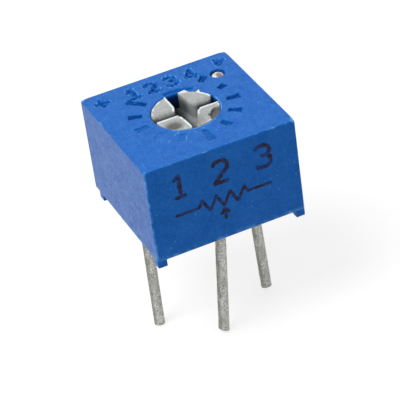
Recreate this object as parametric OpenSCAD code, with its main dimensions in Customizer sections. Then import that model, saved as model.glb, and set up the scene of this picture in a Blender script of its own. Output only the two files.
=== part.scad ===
// Single-turn trimmer potentiometer, square, top adjusted, with three wire terminals.
// Millimetres. The origin lies on the board, on the rotor's axis: the feet stand on z = 0 and
// the terminals go down through the board. +X runs from terminal 1 to terminal 3, and -Y faces
// the front, where terminal 2 is.

/* [Housing] */
// Width of the housing, along X
body_w = 7.0; // [7:0.05:10]
// Depth of the housing, along Y
body_d = 6.95; // [6.95:0.05:10]
// Height of the housing, without its feet
body_h = 4.55; // [4.3:0.05:7]
// Thickness of the four side walls
wall = 0.45; // [0.3:0.01:0.48]
// Thickness of the top wall
top_wall = 0.85; // [0.75:0.05:1.2]
// Radius of the four upright edges
corner_r = 0.06; // [0.03:0.01:0.4]
// Height of the feet
foot_h = 0.33; // [0.2:0.01:0.6]
// Side of each square foot
foot_w = 0.43; // [0.3:0.01:0.6]
// How far the two back feet stand in from the back face
back_foot_inset = 0.45; // [0:0.05:1]

/* [Rotor] */
// Diameter of the rotor's hub, which shows in the top
hub_d = 2.96; // [2.5:0.02:3.7]
// Radial running clearance between the hub and its hole
hub_clear = 0.03; // [0.01:0.01:0.08]
// Depth of the rotor's face below the housing's top
hub_recess = 0; // [0:0.01:0.2]
// Chamfer round the rotor's face
hub_chamfer = 0.05; // [0.02:0.01:0.1]
// Thickness of the rotor's flange
flange_t = 0.7; // [0.5:0.05:1]
// How far the flange reaches past the seal, to bear on the housing's shoulder
flange_lip = 0.1; // [0.05:0.01:0.2]
// How far the stop lug stands out of the flange
lug_h = 0.32; // [0.2:0.01:0.4]
// Angle that the rotor's stop lug fills
lug_span = 36; // [20:1:60]
// Turn from the middle to either stop
turn_limit = 130; // [90:1:140]
// Angle left between the lug and the housing's stop at the end of the turn
stop_play = 2; // [1:0.5:5]
// Running clearance round the flange and the lug
run_clear = 0.06; // [0.03:0.01:0.1]

/* [Screwdriver slot] */
// Depth of the cross slot
slot_depth = 0.75; // [0.3:0.05:0.8]
// Width of the slot's two side arms
side_arm_w = 0.36; // [0.3:0.01:0.6]
// Width of the slot's back arm at the rim
back_arm_w = 0.64; // [0.4:0.01:0.8]
// Width of the slot across its middle
middle_w = 0.86; // [0.6:0.01:1]
// Width of the pointer arm at its tip
pointer_tip_w = 0.22; // [0.1:0.01:0.4]
// How far the pointer's tip lies to the left of the axis
pointer_tip_left = 0.19; // [0:0.01:0.3]
// Radius of the two shallow dimples beside the pointer
dimple_r = 0.3; // [0.1:0.01:0.35]
// Depth of the dimples
dimple_depth = 0.1; // [0.03:0.01:0.2]

/* [Dial] */
// Number of ticks on either side of the front one
tick_pairs = 5; // [2:1:5]
// Angle from one tick to the next
tick_step = 27.7; // [15:0.1:29]
// Width of a tick
tick_w = 0.24; // [0.1:0.01:0.3]
// Length of a tick
tick_l = 0.58; // [0.3:0.01:0.7]
// Plastic left between the rotor's hole and the ticks
tick_gap = 0.37; // [0.2:0.01:0.5]
// How much longer the front tick and the two at the ends are
long_tick_extra = 0.33; // [0:0.01:0.4]
// Depth of the ticks
tick_depth = 0.1; // [0.03:0.01:0.15]

/* [Seal ring] */
// Diameter of the ring's section
ring_section = 0.68; // [0.5:0.01:0.8]
// Clearance round the ring's section
ring_clear = 0.02; // [0.01:0.01:0.04]

/* [Element] */
// Thickness of the ceramic plate
substrate_t = 0.64; // [0.4:0.01:0.8]
// Room left between the plate and its pocket
substrate_clear = 0.04; // [0.02:0.01:0.1]
// Thickness of the printed films
film_t = 0.04; // [0.02:0.01:0.05]
// Radius of the middle of the resistive track
track_r = 1.75; // [1.6:0.01:1.85]
// Width of the resistive track
track_w = 0.6; // [0.4:0.01:0.7]
// Angle that the track fills
track_span = 250; // [200:1:270]
// Angle that each end pad reaches past the track
pad_span = 14; // [8:1:20]
// Diameter of the collector's round middle
collector_d = 1.4; // [1:0.05:1.6]
// Width of the collector's strip to terminal 2
strip_w = 0.5; // [0.3:0.01:0.7]

/* [Wiper contact] */
// Thickness of the spring sheet
sheet_t = 0.08; // [0.05:0.01:0.1]
// Room between the printed films and the rotor's flange
spring_h = 0.8; // [0.7:0.05:1]
// Room left between a contact's lowest point and its film
contact_gap = 0.02; // [0.01:0.01:0.04]
// Number of fingers that run on the track
track_fingers = 4; // [2:1:5]
// Width of one finger
finger_w = 0.2; // [0.15:0.01:0.22]
// Room between two fingers
finger_gap = 0.05; // [0.03:0.01:0.08]
// Diameter of the two stakes that hold the spring
stake_d = 0.32; // [0.24:0.01:0.4]

/* [Terminals] */
// Diameter of the terminal wire
pin_d = 0.47; // [0.4:0.01:0.58]
// Reach of the terminals below the board's face
pin_reach = 5.8; // [3:0.1:15]
// Grid step between terminals, sideways and to the front
pitch = 2.54; // [2.5:0.01:2.6]
// Distance of terminals 1 and 3 behind the rotor's axis
pin_row_y = 0.3; // [0:0.05:0.5]
// Diameter of the upset heads on the wires
head_d = 0.68; // [0.62:0.01:0.74]
// Thickness of the upset heads
head_t = 0.12; // [0.08:0.01:0.2]
// Chamfer at the wire's cut tip
tip_chamfer = 0.06; // [0.02:0.01:0.1]
// Width of the solder fillet round a head
fillet_w = 0.08; // [0.04:0.01:0.1]
// Width of the printed pad past the fillet
pad_margin = 0.02; // [0.01:0.01:0.03]

/* [Resin] */
// Depth of the base resin's face inside the housing's lower edge
seal_recess = 0.12; // [0.05:0.01:0.2]
// Room that keeps the resin's solid off what it is cast against
cast_gap = 0.01; // [0.005:0.005:0.02]
// Diameter of the vent hole in the top
vent_d = 0.68; // [0.4:0.01:0.8]
// Depth of the wide part of the vent hole
vent_depth = 0.7; // [0.4:0.05:0.8]
// Diameter of the vent's narrow bore
vent_bore_d = 0.24; // [0.15:0.01:0.3]
// Direction of the vent from the rotor's axis
vent_angle = 37; // [30:1:60]
// Plastic left between the rotor's chamber and the vent's narrow bore
vent_web = 0.18; // [0.1:0.01:0.25]
// Depth of the resin's rim below the top
vent_recess = 0.08; // [0.03:0.01:0.3]
// Height of the resin's dome above its rim
vent_dome = 0.07; // [0.03:0.01:0.1]

/* [Hidden] */
$fn = 96;
eps = 0.01; // overshoot of a cut past the face that it opens

// How far each terminal leans below the resin, as handling leaves it, and which way, in degrees
pin_lean = [1.1, 5.2, 2.6];
pin_lean_to = [180, 132, -59];
knee_swell = 0.01; // how far a wire's bend swells past its radius
back = 90;   // direction of the wiper and of the rotor's lug at mid turn
front = -90; // direction of the housing's stop

// Heights, from the top down to the ceramic plate
z_top = foot_h + body_h;
z_face = z_top - hub_recess;
z_ceiling = z_top - top_wall;
z_flange_top = z_ceiling - ring_section - 2 * ring_clear;
z_shoulder = z_flange_top + hub_clear;
z_flange = z_flange_top - flange_t;
z_film = z_flange - spring_h;
z_plate_top = z_film - film_t;
z_plate = z_plate_top - substrate_t;
z_seal = foot_h + seal_recess;
head_room = 0.4; // height of the widest chamber, over the terminals' heads

// Radii round the rotor's axis
hub_r = hub_d / 2;
hole_r = hub_r + hub_clear;
ring_mid_r = hub_r + ring_clear + ring_section / 2;
ring_chamber_r = hub_r + ring_section + 2 * ring_clear;
flange_r = ring_chamber_r + flange_lip;
lug_r = flange_r + lug_h;
chamber_r = lug_r + run_clear;
stop_span = 360 - 2 * turn_limit - lug_span - 2 * stop_play;

// Terminals: places on the board's grid, and what goes round them
pin_r = pin_d / 2;
pin_at = [[-pitch, pin_row_y], [0, pin_row_y - pitch], [pitch, pin_row_y]];
fillet_r = head_d / 2 + fillet_w;
pad_r = fillet_r + pad_margin;
element_r = norm(pin_at[2]) + pad_r + run_clear / 2;

// Pocket for the plate, and the plate
pocket_w = body_w - 2 * wall;
pocket_d = body_d - 2 * wall;
pocket_r = max(corner_r - wall, 0.1);

// Vent
vent_place_r = chamber_r + vent_web + vent_bore_d / 2;
vent_at = vent_place_r * [cos(vent_angle), sin(vent_angle)];

// Spring contact: its flat plate, the stakes that hold it, and the rolled ends of its fingers
plate_back = 0.95;   // back edge of the flat plate
plate_front = -0.6;  // front edge of the flat plate
plate_margin = 0.15; // sheet left outside each stake
stake_y = 0.1;       // distance of the stakes behind the axis
stake_x = 0.62;      // distance of each stake to the side
stake_head = 0.08;   // height and overhang of a stake's head
roll_r = 0.1;        // half the length of a finger's rolled contact
roll_lift = 0.05;    // rise of the rolled contact at either end
tip_out = 0.17;      // reach of a finger's tip past its contact
tip_up = 0.16;       // rise of a finger's tip

// A square-cornered outline with quarter-round corners
module rounded_rect(w, d, r) {
    square([w - 2 * r, d], center = true);
    square([w, d - 2 * r], center = true);
    for (sx = [-1, 1], sy = [-1, 1])
        translate([sx * (w / 2 - r), sy * (d / 2 - r)]) circle(r);
}

// An upright block with quarter-round corners, from z0 to z1
module rounded_block(w, d, r, z0, z1) {
    translate([0, 0, z0]) linear_extrude(z1 - z0) rounded_rect(w, d, r);
}

// A straight round bar along Z, from z0 to z1
module bar(r, z0, z1) {
    translate([0, 0, z0]) cylinder(r = r, h = z1 - z0);
}

// A sector of the plane, as a polygon that reaches to radius r, centred on a direction
module wedge(r, span, direction) {
    steps = ceil(span / 30);
    reach = r / cos(span / steps / 2);
    polygon(concat([[0, 0]], [for (i = [0 : steps])
        let (a = direction - span / 2 + span * i / steps) reach * [cos(a), sin(a)]]));
}

// Part of a flat ring, centred on a direction, from z0 to z1
module ring_sector(r_in, r_out, span, direction, z0, z1) {
    translate([0, 0, z0]) linear_extrude(z1 - z0) intersection() {
        difference() {
            circle(r_out);
            circle(r_in);
        }
        wedge(r_out + 1, span, direction);
    }
}

// Outline of a strip of even thickness t that follows a list of points
function heading(a, b) = (b - a) / norm(b - a);
function normal_at(p, i) =
    let (u = heading(p[max(i - 1, 0)], p[max(i, 1)]),
         v = heading(p[min(i, len(p) - 2)], p[min(i + 1, len(p) - 1)]),
         n = [-u.y - v.y, u.x + v.x])
    n / (1 + u * v);
function strip_outline(p, t) = concat(
    [for (i = [0 : len(p) - 1]) p[i] + normal_at(p, i) * t / 2],
    [for (i = [len(p) - 1 : -1 : 0]) p[i] - normal_at(p, i) * t / 2]);

// A finger of the spring: its side view is given in Y and Z, and it is centred on x
module finger(points, x, w) {
    translate([x - w / 2, 0, 0])
        rotate([90, 0, 90])
            linear_extrude(w) polygon(strip_outline(points, sheet_t));
}

// Radial grooves in the top, evenly spaced to either side of the front one
module dial_ticks() {
    for (i = [-tick_pairs : tick_pairs]) {
        extra = abs(i) % tick_pairs == 0 ? long_tick_extra : 0;
        rotate(front + i * tick_step)
            translate([hole_r + tick_gap, -tick_w / 2, z_top - tick_depth])
                cube([tick_l + extra, tick_w, tick_depth + eps]);
    }
}

module foot(x, y) {
    translate([x - foot_w / 2, y - foot_w / 2, 0]) cube([foot_w, foot_w, foot_h + eps]);
}

module housing() {
    foot_x = (body_w - foot_w) / 2;
    front_y = -(body_d - foot_w) / 2;
    back_y = (body_d - foot_w) / 2 - back_foot_inset;
    color("royalblue") difference() {
        union() {
            difference() {
                rounded_block(body_w, body_d, corner_r, foot_h, z_top);
                rounded_block(pocket_w, pocket_d, pocket_r, foot_h - eps, z_plate_top);
                bar(element_r, z_plate_top - eps, z_film + head_room);
                bar(chamber_r, z_film, z_shoulder);
                bar(ring_chamber_r, z_flange, z_ceiling);
                bar(hole_r, z_flange, z_top + eps);
            }
            intersection() {
                union() {
                    for (sx = [-1, 1]) {
                        foot(sx * foot_x, front_y);
                        foot(sx * foot_x, back_y);
                    }
                }
                rounded_block(body_w, body_d, corner_r, 0, z_top);
            }
            ring_sector(flange_r + run_clear, chamber_r + wall / 2, stop_span, front,
                        z_film + head_room, z_shoulder);
        }
        translate([vent_at.x, vent_at.y, 0]) {
            bar(vent_d / 2, z_top - vent_depth, z_top + eps);
            bar(vent_bore_d / 2, z_film + head_room - eps, z_top);
        }
        dial_ticks();
    }
}

// The cross slot seen from above: two side arms, a back arm that opens into the middle, and a
// pointer arm that tapers to its tip at the front
module slot_outline() {
    rim = hub_r + 2 * hub_clear;
    half_mid = middle_w / 2;
    half_side = side_arm_w / 2;
    square([2 * rim, side_arm_w], center = true);
    polygon([
        [-half_mid, -half_side],
        [-pointer_tip_left - pointer_tip_w / 2, -rim],
        [-pointer_tip_left + pointer_tip_w / 2, -rim],
        [half_mid, -half_side],
        [half_mid, half_side],
        [back_arm_w / 2, half_side + middle_w / 4],
        [back_arm_w / 2, rim],
        [-back_arm_w / 2, rim],
        [-back_arm_w / 2, half_side + middle_w / 4],
        [-half_mid, half_side],
    ]);
}

// A shallow round hollow in the rotor's face, cut by a sphere
module dimple(direction, place_r) {
    ball_r = (dimple_r * dimple_r + dimple_depth * dimple_depth) / (2 * dimple_depth);
    rotate(direction) translate([place_r, 0, z_face + ball_r - dimple_depth]) sphere(ball_r);
}

module rotor() {
    color("gainsboro") difference() {
        union() {
            rotate_extrude() polygon([
                [0, z_flange],
                [flange_r, z_flange],
                [flange_r, z_flange_top],
                [hub_r, z_flange_top],
                [hub_r, z_face - hub_chamfer],
                [hub_r - hub_chamfer, z_face],
                [0, z_face],
            ]);
            ring_sector(hub_r, lug_r, lug_span, back, z_flange, z_flange_top);
            for (s = [-1, 1]) translate([s * stake_x, stake_y, 0]) {
                bar(stake_d / 2, z_flange - sheet_t - eps, z_flange + eps);
                bar(stake_d / 2 + stake_head, z_flange - sheet_t - stake_head, z_flange - sheet_t);
            }
        }
        translate([0, 0, z_face - slot_depth]) linear_extrude(slot_depth + eps) slot_outline();
        dimple(front - 45, hub_r - dimple_r);
        dimple(front + 52, hub_r - dimple_r / 2);
    }
}

module o_ring() {
    z = (z_flange_top + z_ceiling) / 2;
    color("saddlebrown") translate([0, 0, z])
        rotate_extrude() translate([ring_mid_r, 0]) circle(ring_section / 2, $fn = 48);
}

// The rolled end of a finger, from its near side to its tip, where it touches at y
function rolled_end(y, z) = [
    [y - roll_r, z + roll_lift],
    [y, z],
    [y + roll_r, z + roll_lift],
    [y + tip_out, z + tip_up],
];

// A flat plate staked to the rotor. A comb of fingers slopes down from its back edge to the
// track, and two fingers fold under from its front edge to the collector.
module wiper_contact() {
    z_sheet = z_flange - sheet_t / 2;
    z_low = z_film + contact_gap + sheet_t / 2;
    plate_w = 2 * (stake_x + plate_margin) + stake_d;
    comb_w = track_fingers * finger_w + (track_fingers - 1) * finger_gap;
    track_run = concat([
        [plate_back - finger_w, z_sheet],
        [plate_back, z_sheet],
        [plate_back + 0.12, z_sheet - 0.05],
    ], rolled_end(track_r, z_low));
    collector_run = concat([
        [plate_front + finger_w, z_sheet],
        [plate_front, z_sheet],
        [plate_front - 0.14, z_sheet - 0.06],
        [plate_front - 0.17, z_sheet - 0.2],
        [plate_front - 0.06, z_sheet - 0.3],
    ], rolled_end(0, z_low));
    color("goldenrod") difference() {
        union() {
            translate([-plate_w / 2, plate_front, z_flange - sheet_t])
                cube([plate_w, plate_back - plate_front, sheet_t]);
            for (i = [0 : track_fingers - 1])
                finger(track_run, (finger_w - comb_w) / 2 + i * (finger_w + finger_gap), finger_w);
            for (s = [-1, 1]) finger(collector_run, s * (finger_w + finger_gap) / 2, finger_w);
        }
        for (s = [-1, 1]) translate([s * stake_x, stake_y, 0])
            bar(stake_d / 2 + cast_gap, z_flange - 2 * sheet_t, z_flange + eps);
    }
}

module substrate() {
    color("white") difference() {
        rounded_block(pocket_w - 2 * substrate_clear, pocket_d - 2 * substrate_clear,
                      pocket_r, z_plate, z_plate_top);
        for (p = pin_at) translate(p) bar(pin_r + substrate_clear, z_plate - eps, z_film);
    }
}

module resistive_track() {
    color("dimgray") ring_sector(track_r - track_w / 2, track_r + track_w / 2, track_span,
                                 back, z_plate_top, z_film);
}

// Round land under a terminal's head
module land(i) {
    translate(pin_at[i]) circle(pad_r);
}

// Conductor from one end of the track out to its terminal: side is -1 for the left, 1 for the
// right. It leaves the track's end, clears the track's outer edge and runs straight to the land.
module end_pad(side) {
    i = side + 1;
    direction = back - side * (track_span + pad_span) / 2;
    elbow_r = track_r + track_w / 2 + strip_w / 2;
    elbow = elbow_r * [cos(direction), sin(direction)];
    run = pin_at[i] - elbow;
    color("silver") translate([0, 0, z_plate_top]) linear_extrude(film_t) difference() {
        union() {
            intersection() {
                difference() {
                    circle(elbow_r);
                    circle(track_r - track_w / 2);
                }
                wedge(elbow_r + 1, pad_span, direction);
            }
            translate(elbow) {
                circle(strip_w / 2);
                rotate(atan2(run.y, run.x))
                    translate([0, -strip_w / 2]) square([norm(run), strip_w]);
            }
            land(i);
        }
        intersection() {
            circle(track_r + track_w / 2 + cast_gap);
            wedge(track_r + track_w, track_span, back);
        }
        translate(pin_at[i]) circle(pin_r + substrate_clear);
    }
}

module collector_pad() {
    color("silver") translate([0, 0, z_plate_top]) linear_extrude(film_t) difference() {
        union() {
            circle(collector_d / 2);
            translate([-strip_w / 2, pin_at[1].y]) square([strip_w, -pin_at[1].y]);
            land(1);
        }
        translate(pin_at[1]) circle(pin_r + substrate_clear);
    }
}

// A wire with an upset head on the plate: upright through the plate and the resin, then a knee,
// and straight on at its own lean down to its chamfered tip
module pin(i) {
    free = (z_seal + pin_reach) / cos(pin_lean[i]);
    color("silver") translate(pin_at[i]) {
        bar(head_d / 2, z_film, z_film + head_t);
        bar(pin_r, z_seal + knee_swell, z_film + head_t);
        translate([0, 0, z_seal]) {
            sphere(pin_r + knee_swell);
            rotate(pin_lean_to[i]) rotate([0, -pin_lean[i], 0]) mirror([0, 0, 1])
                rotate_extrude() polygon([
                    [0, knee_swell],
                    [pin_r, knee_swell],
                    [pin_r, free - tip_chamfer],
                    [pin_r - tip_chamfer, free],
                    [0, free],
                ]);
        }
    }
}

// A ring of solder with a straight flank, between a terminal's head and its pad
module solder_joint(i) {
    color("lightgray") translate([pin_at[i].x, pin_at[i].y, z_film]) rotate_extrude() polygon([
        [head_d / 2 + cast_gap, 0],
        [fillet_r, 0],
        [fillet_r, film_t],
        [head_d / 2 + cast_gap, head_t - film_t / 2],
    ]);
}

module base_seal() {
    color("tan") difference() {
        rounded_block(pocket_w - 2 * cast_gap, pocket_d - 2 * cast_gap, pocket_r,
                      z_seal, z_plate - cast_gap);
        for (p = pin_at) translate(p) bar(pin_r + cast_gap, z_seal - eps, z_plate);
    }
}

// Resin in the wide part of the vent hole, with a low dome on top
module vent_plug() {
    r = vent_d / 2 - cast_gap;
    ball_r = (r * r + vent_dome * vent_dome) / (2 * vent_dome);
    z_rim = z_top - vent_recess;
    color("tan") translate([vent_at.x, vent_at.y, 0]) {
        bar(r, z_top - vent_depth + cast_gap, z_rim);
        intersection() {
            translate([0, 0, z_rim + vent_dome - ball_r]) sphere(ball_r);
            bar(r, z_rim - eps, z_top);
        }
    }
}

housing();
rotor();
o_ring();
wiper_contact();
substrate();
resistive_track();
end_pad(-1);  // end_pad_1
end_pad(1);  // end_pad_3
collector_pad();
pin(0);  // pin_1
pin(1);  // pin_2
pin(2);  // pin_3
solder_joint(0);  // solder_joint_1
solder_joint(1);  // solder_joint_2
solder_joint(2);  // solder_joint_3
base_seal();
vent_plug();
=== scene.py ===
"""Looks of a square, top-adjusted trimmer potentiometer.

The blue moulded housing with its dial, the pale cross-slotted rotor, the tinned terminals, the
resin in the vent and under the base, and the printed mark on the front. Shapes are worked out in
millimetres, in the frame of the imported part, and are put into the meshes in metres.
"""
import math

import bpy
import numpy as np
from mathutils import Matrix, Vector


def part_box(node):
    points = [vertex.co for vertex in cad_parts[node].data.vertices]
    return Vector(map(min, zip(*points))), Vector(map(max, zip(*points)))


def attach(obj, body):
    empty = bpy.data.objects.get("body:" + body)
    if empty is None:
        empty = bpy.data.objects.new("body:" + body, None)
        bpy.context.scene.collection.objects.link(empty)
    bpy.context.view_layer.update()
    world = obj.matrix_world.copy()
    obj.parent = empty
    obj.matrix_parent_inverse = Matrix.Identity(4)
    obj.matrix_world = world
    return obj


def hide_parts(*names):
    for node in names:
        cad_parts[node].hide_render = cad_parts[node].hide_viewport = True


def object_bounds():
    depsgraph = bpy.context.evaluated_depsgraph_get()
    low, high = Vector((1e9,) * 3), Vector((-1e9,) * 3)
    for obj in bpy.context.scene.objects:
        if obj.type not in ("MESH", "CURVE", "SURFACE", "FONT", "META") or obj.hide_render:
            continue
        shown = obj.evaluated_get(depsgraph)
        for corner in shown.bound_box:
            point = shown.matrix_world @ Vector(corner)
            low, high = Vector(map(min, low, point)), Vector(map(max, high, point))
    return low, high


MM = 0.001  # one millimetre in metres
SHARP_ANGLE = 78  # faces that meet at more than this many degrees keep a sharp edge

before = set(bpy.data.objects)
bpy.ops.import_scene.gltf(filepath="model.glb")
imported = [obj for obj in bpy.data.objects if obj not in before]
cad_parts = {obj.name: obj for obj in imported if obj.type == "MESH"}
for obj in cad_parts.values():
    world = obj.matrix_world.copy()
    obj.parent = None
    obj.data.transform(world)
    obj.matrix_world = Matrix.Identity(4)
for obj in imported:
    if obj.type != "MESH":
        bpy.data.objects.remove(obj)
cad_low, cad_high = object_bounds()


def box_mm(node):
    """Lowest and highest corner of a CAD node, as arrays in millimetres."""
    low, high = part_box(node)
    return np.array(low) / MM, np.array(high) / MM


# ------ sizes, in millimetres

# Housing: outer sizes from the frame, the others as in the part
HALF_W, HALF_D, Z_TOP = box_mm("housing")[1]
FOOT_H = 0.33
FOOT_W = 0.43
BACK_FOOT_INSET = 0.45
WALL = 0.45
CORNER_R = 0.06
TOP_EDGE_R = 0.03
WORN_EDGE_R = 0.1  # the same edge at the worn corners
BOTTOM_EDGE_R = 0.02
HOLE_EDGE_R = 0.06

# Rotor, with the rubber ring's chamber round it
ROTOR_HIGH = box_mm("rotor")[1]
RING_LOW, RING_HIGH = box_mm("o_ring")
Z_FACE = ROTOR_HIGH[2]
HUB_R = 1.48
HOLE_R = HUB_R + 0.03
RIM_R = HUB_R + 0.012  # the raised quadrants' outer radius
SLOT_DEPTH = 0.75
Z_SLOT = Z_FACE - SLOT_DEPTH
Z_CEILING = RING_HIGH[2] + 0.02
Z_FLANGE_TOP = RING_LOW[2] - 0.02
Z_FLANGE = Z_FLANGE_TOP - 0.7
RING_CHAMBER_R = RING_HIGH[0] + 0.02
FLANGE_R = RING_CHAMBER_R + 0.1
LUG_R = ROTOR_HIGH[1]
LUG_SPAN = 36
CHAMBER_R = LUG_R + 0.06
STOP_SPAN = 60

# Element
Z_PLATE, Z_PLATE_TOP = (corner[2] for corner in box_mm("substrate"))
ELEMENT_R = 3.03
HEAD_ROOM = 0.44

# Vent: its mouth lies a little further back than in the part
VENT_LOW, VENT_HIGH = box_mm("vent_plug")
VENT_AT = (VENT_LOW + VENT_HIGH)[:2] / 2 + (0.04, 0.12)
VENT_R = 0.34
VENT_DEPTH = 0.7

# Dial
TICK_PAIRS = 5
TICK_STEP = 27.7
TICK_IN = HOLE_R + 0.37
TICK_L = 0.58
LONG_EXTRA = 0.33
TICK_W = 0.24
DIAL_STROKE = 0.2
RELIEF_DEPTH = 0.1
GROOVE_WALL = 0.045  # how far a groove's wall slopes

# Terminals
PIN_R = 0.235
PITCH = 2.54
PIN_ROW_Y = 0.3
Z_SEAL = FOOT_H + 0.12
Z_TIPS = -5.8
PIN_AT = np.array([[-PITCH, PIN_ROW_Y], [0, PIN_ROW_Y - PITCH], [PITCH, PIN_ROW_Y]])
PIN_LEAN = [1.1, 5.2, 2.6]
PIN_LEAN_TO = [180, 132, -59]
PIN_SWAY = [(-0.02, 0.035), (0.0, 0.0), (0.035, -0.012)]  # sideways, at the knee and at the tip
TIP_SLANT = [(0.02, 0.07), (0.2, 0.07), (0.0, 0.1)]  # rise of each cut to its left and its front

INK_RISE = 0.006


# ------ meshes from arrays

def surface(points, start=None, end=None, close_rows=False):
    """Vertices and faces of a grid of points: a row for each step along a profile, a column for
    each step round. Columns close on themselves. A start or end point closes the grid with a fan,
    and close_rows joins the last row to the first. Faces look where the rows' direction turned
    right-handed into the columns' points.
    """
    rows, cols = points.shape[:2]
    vertices = [points.reshape(-1, 3)]
    index = np.arange(rows * cols).reshape(rows, cols)
    if close_rows:
        index = np.vstack([index, index[:1]])
    beside = np.roll(index, -1, axis=1)
    quads = np.stack([index[:-1], index[1:], beside[1:], beside[:-1]], -1).reshape(-1, 4)
    triangles = [np.zeros((0, 3), int)]
    for tip, near, far in ((start, index[0], beside[0]), (end, beside[-1], index[-1])):
        if tip is not None:
            count = rows * cols + len(vertices) - 1
            vertices.append(np.array([tip], float))
            triangles.append(np.stack([np.full(cols, count), near, far], -1))
    return np.vstack(vertices), quads, np.vstack(triangles)


def add_object(name, data):
    """A new object in the scene, at the origin."""
    added = bpy.data.objects.new(name, data)
    bpy.context.scene.collection.objects.link(added)
    return added


def make_piece(name, shells, finish, body, replaces=(), values=None):
    """One mesh object from closed shells in millimetres, riding on a body. Each of the values,
    one number for each vertex, is kept as an attribute for the material."""
    vertices = np.vstack([points for points, _, _ in shells]) * MM
    faces, offset = [], 0
    for points, quads, triangles in shells:
        faces += (quads + offset).tolist() + (triangles + offset).tolist()
        offset += len(points)
    mesh = bpy.data.meshes.new(name)
    mesh.from_pydata(vertices.tolist(), [], faces)
    mesh.shade_smooth()
    mesh.set_sharp_from_angle(angle=math.radians(SHARP_ANGLE))
    for key, numbers in (values or {}).items():
        layer = mesh.attributes.new(key, "FLOAT", "POINT")
        layer.data.foreach_set("value", np.asarray(numbers, np.float32))
    mesh.materials.append(FINISHES[finish])
    piece = add_object(name, mesh)
    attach(piece, body)
    if replaces:
        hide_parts(*replaces)


def length(v):
    """Length of each vector."""
    return np.linalg.norm(v, axis=-1)


def unit(v):
    """Each vector brought to length 1."""
    return v / length(v)[..., None]


def with_z(xy, z):
    """Points in the plane, lifted to one height or to one each."""
    return np.concatenate([xy, np.broadcast_to(z, xy.shape[:-1])[..., None]], axis=-1)


def direction_of(p):
    """Direction of points p from the axis, in degrees."""
    return np.degrees(np.arctan2(p[..., 1], p[..., 0]))


def degrees_off(angle, direction):
    """How far angles lie from a direction either way, in degrees."""
    return np.abs((angle - direction + 180) % 360 - 180)


def full_turn(columns):
    """Evenly spaced angles once round, in radians."""
    return np.arange(columns) * 2 * np.pi / columns


def arc(x, y, radius, start, stop, steps=14):
    """Points along an arc, from one angle to another in degrees."""
    angle = np.radians(np.linspace(start, stop, steps))
    return np.stack([x + radius * np.cos(angle), y + radius * np.sin(angle)], -1)


def smooth_step(x):
    """0 below 0, 1 above 1, and a smooth rise between."""
    x = np.clip(x, 0, 1)
    return x * x * (3 - 2 * x)


def waves(p, seed, scale, octaves=3):
    """A smooth random value from -1 to 1 at points p: sums of sines in random directions, each
    octave twice as fine and half as strong. The scale is in millimetres."""
    random = np.random.default_rng(seed)
    total = np.zeros(p.shape[:-1])
    for octave in range(octaves):
        for _ in range(5):
            direction = random.normal(size=p.shape[-1])
            direction *= 2 ** octave / scale / np.linalg.norm(direction)
            total += np.sin(p @ direction * 2 * np.pi + random.uniform(0, 7)) / 2 ** octave / 5
    return total


def quarter(steps):
    """Inset and drop along a quarter round of radius 1, from the flat face over to the wall."""
    t = np.linspace(0, np.pi / 2, steps)
    return list(zip(1 - np.sin(t), 1 - np.cos(t)))


def resampled(line, spacing, closed=False):
    """Points about evenly spaced along a polyline."""
    line = np.asarray(line, float)
    if closed:
        line = np.vstack([line, line[:1]])
    run = np.concatenate([[0], np.cumsum(length(np.diff(line, axis=0)))])
    at = np.linspace(0, run[-1], max(int(run[-1] / spacing), 3) + 1)
    if closed:
        at = at[:-1]
    return np.stack([np.interp(at, run, line[:, k]) for k in (0, 1)], -1)


# ------ strokes for numbers and marks

STROKES = {
    "1": [[(0.1, 0.76), (0.34, 1.0), (0.34, 0.0)], [(0.08, 0.0), (0.6, 0.0)]],
    "2": [np.vstack([arc(0.31, 0.7, 0.29, 165, -25), [(0.04, 0.0), (0.62, 0.0)]])],
    "3": [np.vstack([arc(0.3, 0.75, 0.25, 155, -80), arc(0.3, 0.26, 0.28, 80, -155)])],
    "4": [[(0.46, 0.0), (0.46, 1.0), (0.02, 0.3), (0.64, 0.3)]],
    "+": [[(0.3, 0.2), (0.3, 0.8)], [(0.0, 0.5), (0.6, 0.5)]],
    "wedge": [[(0.05, 0.8), (0.3, 0.15), (0.55, 0.8)]],
}
PRINTED = {
    "1": [[(0.1, 0.78), (0.36, 1.0), (0.36, 0.0)], [(0.08, 0.0), (0.62, 0.0)]],
    "2": [[(0.0, 0.78), (0.14, 1.0), (0.5, 1.0), (0.64, 0.84), (0.64, 0.62), (0.0, 0.0), (0.66, 0.0)]],
    "3": [[(0.0, 0.84), (0.14, 1.0), (0.5, 1.0), (0.64, 0.86), (0.64, 0.66), (0.5, 0.53), (0.24, 0.53)],
          [(0.5, 0.53), (0.66, 0.38), (0.66, 0.16), (0.5, 0.0), (0.14, 0.0), (0.0, 0.16)]],
}


def placed(strokes, centre, height, turn=0):
    """Strokes of a glyph 1 high and 0.62 wide, scaled, turned in degrees and centred."""
    c, s = math.cos(math.radians(turn)), math.sin(math.radians(turn))
    turned = np.array([[c, s], [-s, c]])
    return [(np.array(line, float) - (0.31, 0.5)) * height @ turned + centre for line in strokes]


def distance_to_lines(p, lines):
    """Distance from each point to the nearest of several polylines."""
    nearest = np.full(p.shape[:-1], 1e9)
    for line in lines:
        for a, b in zip(line[:-1], line[1:]):
            a, along = np.asarray(a), np.asarray(b) - np.asarray(a)
            t = np.clip((p - a) @ along / (along @ along), 0, 1)
            nearest = np.minimum(nearest, length(p - a - t[..., None] * along))
    return nearest


# ------ housing

# Marks sunk into the dial: each one's middle, height and turn
DIAL_MARKS = [line for mark, *at in (
    ("1", (-1.36, 2.56), 0.76), ("2", (-0.46, 2.56), 0.76), ("3", (0.44, 2.56), 0.76),
    ("4", (1.38, 2.56), 0.76), ("+", (-2.78, 2.64), 0.8), ("wedge", (2.86, 2.74), 0.62, -28),
) for line in placed(STROKES[mark], *at)]
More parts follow.
